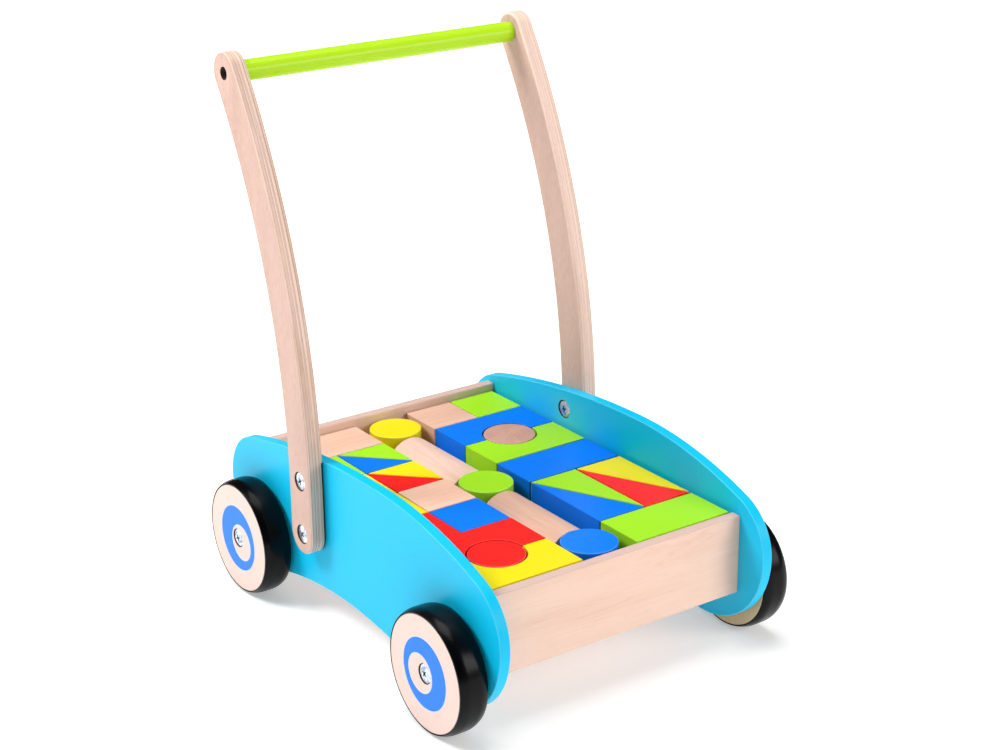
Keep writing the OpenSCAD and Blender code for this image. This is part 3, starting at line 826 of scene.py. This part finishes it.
def make_floor_board():
    node = "tray_floor"
    lo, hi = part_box(node)
    outline = [Vector(p) for p in ((lo.x, lo.y), (hi.x, lo.y), (hi.x, hi.y), (lo.x, hi.y))]
    bm = prism(outline, lo.z, hi.z, 0.4 * MM)
    look = wood("veneer_tray_floor", BIRCH_PALE, BIRCH_DARK, middle(lo, hi), Y, pith=(40, 120),
                ring_mm=7.0, wobble_mm=12, rings=0.35, fibres=0.6)
    finish_mesh(bm, "tray_floor_plywood", [look], "frame", "birch_ply", node)


# --------------------------------------------------------------------------- blocks

COLOURS = {"green": GREEN, "blue": BLUE, "yellow": YELLOW, "red": RED}
GRAIN = {
    "block_plain_log_front": Y,
    "block_plain_log_rear": Y,
    "block_plain_pillar": Z,
}
# How light a block is against plain beech.
TONE = {
    "block_plain_cube_middle": 1.14,
    "block_plain_cube_rear": 0.92,
    "block_plain_log_front": 0.86,
}
# Pale and dark tone and strength of the rings, where a block differs from plain beech.
PLAIN_BEECH = (BEECH_PALE, BEECH_DARK, 0.16)
BEECH = {
    "block_plain_log_rear": (LOG_PALE, LOG_DARK, 0.16),
    "block_plain_pillar": (END_PALE, END_DARK, 1.0),
}


def block_look(node, rng):
    """The finish of one block, and its record slot."""
    lo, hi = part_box(node)
    centre = middle(lo, hi)
    tint = node.split("_")[1]
    if tint != "plain":
        spread = rng.uniform(0.97, 1.03)
        centre = centre + Vector((rng.uniform(-1, 1), rng.uniform(-1, 1), rng.uniform(-1, 1)))
        return paint(f"paint_{node}", shade(COLOURS[tint], spread), centre, 0.34), f"{tint}_paint"
    pith = (rng.choice((-1, 1)) * rng.uniform(35, 80), rng.uniform(25, 60))
    pale, dark, rings = BEECH.get(node, PLAIN_BEECH)
    log = "_log_" in node
    tone = TONE.get(node, 1.0) * rng.uniform(0.98, 1.02)
    look = wood(f"beech_{node}", shade(pale, tone), shade(dark, tone), centre,
                GRAIN.get(node, X), pith=pith, ring_mm=rng.uniform(1.7, 2.3), wobble_mm=4,
                rings=rings, fibres=0.4, flecks=0.3, gloss=0.36 if log else 0.5,
                shine=0.55 if log else 0.25)
    return look, "plain_beech"


def make_block(node, rng):
    lo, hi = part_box(node)
    look, slot = block_look(node, rng)
    kind = node.split("_")[2]
    if kind in ("pillar", "log"):
        log = kind == "log"
        radius = (hi.x - lo.x) / 2 - (0.0 if log else PILLAR_TRIM)
        height = hi.y - lo.y if log else hi.z - lo.z
        foot = middle(lo, hi)
        foot[Y if log else Z] = lo.y if log else lo.z
        turn = Matrix.Rotation(-math.pi / 2, 4, "X") if log else Matrix.Identity(4)
        soft = LOG_ROUND if log else PILLAR_ROUND
        corners = [(0, 0, 0), (radius, 0, soft), (radius, height, soft), (0, height, 0)]
        bm = lathe(new_mesh(), rounded_profile(corners), Matrix.Translation(foot) @ turn)
    else:
        outline = inset(refine(flat(loops_at(node, Z, hi.z)[0], Z)), GAP_TRIM)
        bm = prism(outline, lo.z, hi.z, BLOCK_ROUND)
    finish_mesh(bm, f"{node}_finished", [look], node.replace("block_", ""), slot, node)


# --------------------------------------------------------------------------- wheels

INNER_CENTRES = {
    "front_left": (5.6, -1.7),
    "rear_left": (-5.3, -2.4),
    "front_right": (-3.5, 5.6),
    "rear_right": (6.0, 2.8),
}


def tyre_profile(tyre_r, width, steps=12):
    """A crowned band, thin at both faces of the wheel."""
    turn = math.acos(1 - (tyre_r - DISC_R - TYRE_LIP) / TYRE_ROUND)
    run = TYRE_ROUND * math.sin(turn)
    crown = []
    for centre, first in ((run, -1), (width - run, 0)):
        for i in range(steps + 1):
            a = turn * (first + i / steps)
            crown.append((tyre_r - TYRE_ROUND * (1 - math.cos(a)), centre + TYRE_ROUND * math.sin(a), 0))
    crown[0] = crown[0][:2] + (0.25 * MM,)
    crown[-1] = crown[-1][:2] + (0.25 * MM,)
    profile = rounded_profile([(DISC_R, 0, 0)] + crown + [(DISC_R, width, 0)], 5)
    profile.append(profile[0])
    return profile


def make_wheel(name, side, end):
    width = WHEEL_OUT - WHEEL_IN
    place = outward(side, WHEEL_IN, end * AXLE_Y, AXLE_Z)
    centre = Vector((side * middle(WHEEL_IN, WHEEL_OUT), end * AXLE_Y, AXLE_Z))
    bore = BARREL_R + 0.05 * MM
    corners = [
        (bore, 0, 0), (DISC_R, 0, 0.4 * MM), (DISC_R, width, 0.4 * MM), (POCKET_R, width, 0.3 * MM),
        (POCKET_R, width - HEAD_DEEP, 0.1 * MM), (bore, width - HEAD_DEEP, 0),
    ]
    profile = rounded_profile(corners)
    profile.append(profile[0])
    bm = lathe(new_mesh(), profile, place, n=128)
    bmesh.ops.remove_doubles(bm, verts=bm.verts, dist=1e-7)
    for f in bm.faces:
        c = f.calc_center_median()
        off_axis = math.hypot(c.y - centre.y, c.z - centre.z)
        if abs(c.x) > WHEEL_OUT - 0.2 * MM:
            f.material_index = 1
        elif abs(c.x) > WHEEL_OUT - HEAD_DEEP - 0.2 * MM and off_axis < POCKET_R + 0.1 * MM:
            f.material_index = 2
    ground = wood(f"wheel_wood_{name}", BACK_PALE, BACK_DARK, centre, Z, pith=(30, 90),
                  ring_mm=3.2, wobble_mm=5, rings=0.08, fibres=0.4, flecks=0.1, run=0.1, mottle=0.3)
    face = wheel_print(f"wheel_print_{name}", centre, INNER_CENTRES[name])
    body = f"{name}_wheel_set"
    # The axle pocket gets painted shade.
    finish_mesh(bm, f"{name}_wheel_printed", [ground, face, shaded_bore_wood(f"bore_{name}", centre)], body,
                "wheel_wood", f"{name}_wheel")

    profile = tyre_profile(AXLE_Z, width)
    bm = lathe(new_mesh(), profile, place, n=128)
    bmesh.ops.remove_doubles(bm, verts=bm.verts, dist=1e-7)
    finish_mesh(bm, f"{name}_tyre_rubber", [rubber(f"rubber_{name}", centre)], body,
                "black_rubber", f"{name}_tyre")


# --------------------------------------------------------------------------- fasteners


def cut_away(mesh, cutters):
    """The mesh less each cutter, by boolean."""
    obj = bpy.data.objects.new("blank", mesh)
    bpy.context.scene.collection.objects.link(obj)
    tools = []
    for cutter in cutters:
        tool = bpy.data.objects.new("cutter", cutter)
        bpy.context.scene.collection.objects.link(tool)
        tools.append(tool)
        cut = obj.modifiers.new("cut", "BOOLEAN")
        cut.operation, cut.solver, cut.object = "DIFFERENCE", "EXACT", tool
    bpy.context.view_layer.update()
    done = bpy.data.meshes.new_from_object(obj.evaluated_get(bpy.context.evaluated_depsgraph_get()))
    for o in tools + [obj]:
        bpy.data.objects.remove(o)
    return done


def two_slot_mesh(name, bm):
    """A mesh with two empty material slots, so that a boolean keeps its faces' slots."""
    mesh = bpy.data.meshes.new(name)
    bm.to_mesh(mesh)
    bm.free()
    mesh.materials.append(None)
    mesh.materials.append(None)
    return mesh


def slot_cutter(length, width, top, bottom, turn):
    """A tapered slot: narrower and shorter at its bottom."""
    bm = bmesh.new()
    place = Matrix.Rotation(turn, 4, "Z")
    rings = []
    for h, k in ((bottom, 0.55), (top, 1.12)):
        u, v = length / 2 * k, width / 2 * (0.6 + 0.4 * k)
        corners = [(u, v), (-u, v), (-u, -v), (u, -v)]
        rings.append([bm.verts.new(place @ Vector((c[0], c[1], h))) for c in corners])
    bridge(bm, rings[0], rings[1])
    bm.faces.new(rings[0])
    bm.faces.new(rings[1])
    bmesh.ops.recalc_face_normals(bm, faces=bm.faces)
    for face in bm.faces:
        face.material_index = 1
    return two_slot_mesh("slot_cutter", bm)


def head_mesh(radius, rim, dome, recess_len, recess_w, recess_depth):
    """A domed head on local Z with a cross recess, its flat underside at 0."""
    top = rim + dome
    steps = 10
    corners = [(Vector((0, 0)), 0.0), (Vector((radius * 0.97, 0)), 0.3), (Vector((radius, rim * 0.15)), 0.6)]
    corners.append((Vector((radius, rim * 0.8)), 0.6))
    for k in range(steps + 1):
        r = radius * 0.975 * (1 - k / steps)
        corners.append((Vector((r, rim + dome * (1 - (r / radius) ** 2))), 0.0))
    bm = lathe(new_mesh(), corners, Matrix.Identity(4), n=72)
    bmesh.ops.recalc_face_normals(bm, faces=bm.faces)
    mesh = two_slot_mesh("head", bm)
    over = top + 0.3 * MM
    cutters = [
        slot_cutter(recess_len, recess_w, over, top - recess_depth, 0),
        slot_cutter(recess_len, recess_w, over, top - recess_depth, math.pi / 2),
        slot_cutter(recess_len * 0.45, recess_len * 0.42, over, top - recess_depth * 1.25, math.pi / 4),
    ]
    return cut_away(mesh, cutters)


def add_copy(bm, mesh, place):
    """Adds a transformed copy of mesh to bm."""
    part = bmesh.new()
    part.from_mesh(mesh)
    part.transform(place)
    spare = bpy.data.meshes.new("copy")
    part.to_mesh(spare)
    part.free()
    bm.from_mesh(spare)
    bpy.data.meshes.remove(spare)


def sharp_by_angle(obj, degrees=35):
    """Marks hard edges, so that weighted normals keep them."""
    bm = bmesh.new()
    bm.from_mesh(obj.data)
    for e in bm.edges:
        e.smooth = e.calc_face_angle(math.pi) < math.radians(degrees)
    bm.to_mesh(obj.data)
    bm.free()
    obj.modifiers["normals"].keep_sharp = True


def shaft(bm, place, radius, start, stop, chamfer=0.4 * MM):
    corners = [(0, start, 0), (radius - chamfer, start, 0), (radius, start + chamfer, 0.15 * MM),
               (radius, stop, 0), (0, stop, 0)]
    lathe(bm, rounded_profile(corners, 2), place, n=48)


def sleeve(bm, place, outer, inner, start, stop):
    """A tube with softened ends."""
    c = 0.15 * MM
    corners = [(inner, start, 0), (outer, start, c), (outer, stop, c), (inner, stop, 0)]
    profile = rounded_profile(corners, 2)
    profile.append(profile[0])
    lathe(bm, profile, place, n=64)


ZINC_PIECES = ("axle_bolts", "upright_bolts", "upright_nuts", "axle_nuts", "handle_screws")


def make_fasteners(rng):
    head = head_mesh(HEAD_R, HEAD_RIM, DOME, 5.6 * MM, 1.3 * MM, 1.5 * MM)
    small = head_mesh(SCREW_HEAD_R, SCREW_HEAD_T * 0.7, SCREW_HEAD_T * 0.3, 4.4 * MM, 1.0 * MM, 1.3 * MM)

    def spin():
        return Matrix.Rotation(rng.uniform(0, math.pi), 4, "Z")

    tip_x = HALF_TRAY + HEAD_DEEP + 1.5 * MM
    axle_head_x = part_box("axle_bolts")[1].x - HEAD_RIM - DOME
    groups = {name: new_mesh() for name in ZINC_PIECES}
    for side in SIDES:
        for y, z in AXLES:
            bm = groups["axle_bolts"]
            add_copy(bm, head, outward(side, axle_head_x, y, z) @ spin())
            shaft(bm, outward(side, 0, y, z), BARREL_R, PANEL_X, axle_head_x)
            shaft(bm, outward(side, 0, y, z), THREAD_R, tip_x, PANEL_X)
        for y, z in BOLTS:
            bm = groups["upright_bolts"]
            add_copy(bm, head, outward(side, UPRIGHT_X - HEAD_DEEP, y, z) @ spin())
            shaft(bm, outward(side, 0, y, z), THREAD_R, tip_x, UPRIGHT_X - HEAD_DEEP)
        for places, name, reach in ((AXLES, "axle_nuts", PANEL_X), (BOLTS, "upright_nuts", nuts_hi.x)):
            for y, z in places:
                bm = groups[name]
                nut_x = HALF_TRAY + HEAD_DEEP
                add_copy(bm, head, outward(-side, -nut_x, y, z) @ spin())
                sleeve(bm, outward(side, 0, y, z), BARREL_R, THREAD_R + 0.05 * MM, nut_x, reach)
        bm = groups["handle_screws"]
        seat = UPRIGHT_X - SCREW_POCKET
        add_copy(bm, small, outward(side, seat, BAR_Y, BAR_Z) @ spin())
        shaft(bm, outward(side, 0, BAR_Y, BAR_Z), 2 * MM, seat - 38 * MM, seat, chamfer=1.2 * MM)
    for name, bm in groups.items():
        metal = 0.55 if name.endswith("nuts") else 1.0
        looks = [zinc(f"zinc_{name}", (0, 0, 0), metal), recess_dark_zinc(f"recess_{name}", (0, 0, 0))]
        obj = finish_mesh(bm, f"{name}_zinc", looks, "frame", "zinc", name)
        sharp_by_angle(obj)

    bm = new_mesh()
    lo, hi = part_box("axle_washers")
    for side in SIDES:
        for y, z in AXLES:
            sleeve(bm, outward(side, 0, y, z), hi.z - AXLE_Z, BARREL_R + 0.1 * MM, PANEL_X, hi.x)
    look = zinc("zinc_axle_washers", (0, 0, 0))
    obj = finish_mesh(bm, "axle_washers_zinc", [look], "frame", "zinc", "axle_washers")
    sharp_by_angle(obj)


def make_handle():
    half = bar_hi.x
    corners = [(0, -half, 0), (BAR_R, -half, 0.5 * MM), (BAR_R, half, 0.5 * MM), (0, half, 0)]
    place = Matrix.Translation((0, BAR_Y, BAR_Z)) @ Matrix.Rotation(math.pi / 2, 4, "Y")
    bm = lathe(new_mesh(), rounded_profile(corners), place, n=96)
    look = paint("green_paint_handle_bar", BAR_GREEN, (0, BAR_Y, BAR_Z), 0.24)
    finish_mesh(bm, "handle_bar_painted", [look], "frame", "green_paint", "handle_bar")


def dress_dowels():
    """The joining dowels are hidden in their holes and stay as the CAD made them."""
    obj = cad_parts["panel_dowels"]
    obj.data.materials.clear()
    obj.data.materials.append(
        wood("beech_panel_dowels", BEECH_PALE, BEECH_DARK, (0, 0, 0), X, pith=(10, 10), ring_mm=1.5)
    )
    soften = obj.modifiers.new("soft_ends", "BEVEL")
    soften.width, soften.segments, soften.limit_method = 0.4 * MM, 2, "ANGLE"


# --------------------------------------------------------------------------- build

rng = random.Random(SEED)
make_side_panel(-1, "left_side_panel")
make_side_panel(1, "right_side_panel")
make_upright(-1, "left_upright")
make_upright(1, "right_upright")
make_board("front_panel", (0, 60))
make_board("rear_panel", (5, 75))
make_floor_board()
for block in sorted(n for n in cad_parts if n.startswith("block_")):
    make_block(block, rng)
for end, end_name in ((-1, "front"), (1, "rear")):
    for side, side_name in ((-1, "left"), (1, "right")):
        make_wheel(f"{end_name}_{side_name}", side, end)
make_fasteners(rng)
make_handle()
dress_dowels()

# --------------------------------------------------------------------------- studio

FLOOR_GLOW_NEAR = 0.36
FLOOR_GLOW_FAR = 0.8


def make_floor():
    """A white backlit table: it glows a little, more so away from the object."""
    mesh = bpy.data.meshes.new("studio_floor")
    reach = 14.0
    corners = [(-reach, -reach, 0), (reach, -reach, 0), (reach, reach, 0), (-reach, reach, 0)]
    mesh.from_pydata(corners, [], [(0, 1, 2, 3)])
    obj = bpy.data.objects.new("studio_floor", mesh)
    bpy.context.scene.collection.objects.link(obj)
    look = Look("studio_floor", Roughness=0.8, Specular_IOR_Level=0.1, Emission_Color=(1, 1, 1, 1))
    at = look.place((0, 0, 0))
    far = look.step(look.length(at), 250, 1500)
    look.set(
        Base_Color=look.mix(look.noise(at, 0.004), linear(238, 238, 238), linear(244, 244, 244)),
        Emission_Strength=look.span(far, FLOOR_GLOW_NEAR, FLOOR_GLOW_FAR),
    )
    mesh.materials.append(look.mat)


def area_light(name, place, aim, size, power, colour=(1, 1, 1)):
    data = bpy.data.lights.new(name, "AREA")
    data.shape, data.size, data.size_y = "RECTANGLE", size[0], size[1]
    data.energy, data.color = power, colour
    obj = bpy.data.objects.new(name, data)
    obj.location = place
    obj.rotation_mode = "QUATERNION"
    obj.rotation_quaternion = (Vector(aim) - Vector(place)).to_track_quat("-Z", "Y")
    bpy.context.scene.collection.objects.link(obj)


def make_world(diffuse, glossy):
    """A surround that is seen white, but lights dimly and a little green."""
    world = bpy.data.worlds.new("studio")
    bpy.context.scene.world = world
    world.use_nodes = True
    tree = world.node_tree
    ground = tree.nodes["Background"]
    path = tree.nodes.new("ShaderNodeLightPath")
    tint = tree.nodes.new("ShaderNodeMix")
    tint.data_type = "RGBA"
    tint.inputs[6].default_value = (0.97, 1.0, 0.93, 1.0)
    tint.inputs[7].default_value = (1.0, 1.0, 1.0, 1.0)
    tree.links.new(path.outputs["Is Camera Ray"], tint.inputs["Factor"])
    tree.links.new(tint.outputs[2], ground.inputs["Color"])
    level = tree.nodes.new("ShaderNodeMapRange")
    level.inputs["To Min"].default_value = diffuse
    level.inputs["To Max"].default_value = glossy
    tree.links.new(path.outputs["Is Glossy Ray"], level.inputs["Value"])
    seen = tree.nodes.new("ShaderNodeMath")
    seen.operation = "MAXIMUM"
    tree.links.new(level.outputs[0], seen.inputs[0])
    tree.links.new(path.outputs["Is Camera Ray"], seen.inputs[1])
    tree.links.new(seen.outputs[0], ground.inputs["Strength"])


def make_camera():
    """The photograph's viewpoint: left of and above the front board."""
    yaw, pitch, roll = (math.radians(a) for a in (34.96, -20.867, -0.508))
    forward = Vector((math.sin(yaw) * math.cos(pitch), math.cos(yaw) * math.cos(pitch), math.sin(pitch)))
    right = Vector((math.cos(yaw), -math.sin(yaw), 0))
    up = right.cross(forward)
    right, up = right * math.cos(roll) + up * math.sin(roll), up * math.cos(roll) - right * math.sin(roll)
    data = bpy.data.cameras.new("camera")
    data.sensor_width, data.lens = 36.0, 72.43
    data.shift_x, data.shift_y = 0.0007, 0.002
    obj = bpy.data.objects.new("camera", data)
    obj.matrix_world = Matrix((
        (right.x, up.x, -forward.x, -0.8303),
        (right.y, up.y, -forward.y, -1.2043),
        (right.z, up.z, -forward.z, 0.7542),
        (0, 0, 0, 1),
    ))
    bpy.context.scene.collection.objects.link(obj)
    bpy.context.scene.camera = obj


make_floor()
make_world(0.24, 0.05)
area_light("key", (-1.15, 0.75, 1.45), (0, 0, 0.15), (0.7, 0.7), 27)
area_light("top", (0.1, 0.1, 2.2), (0, 0, 0.1), (1.3, 1.3), 26)
area_light("fill", (1.1, -1.7, 0.9), (0, 0, 0.1), (1.0, 0.9), 19)
make_camera()
bpy.context.scene.view_settings.view_transform = "Standard"
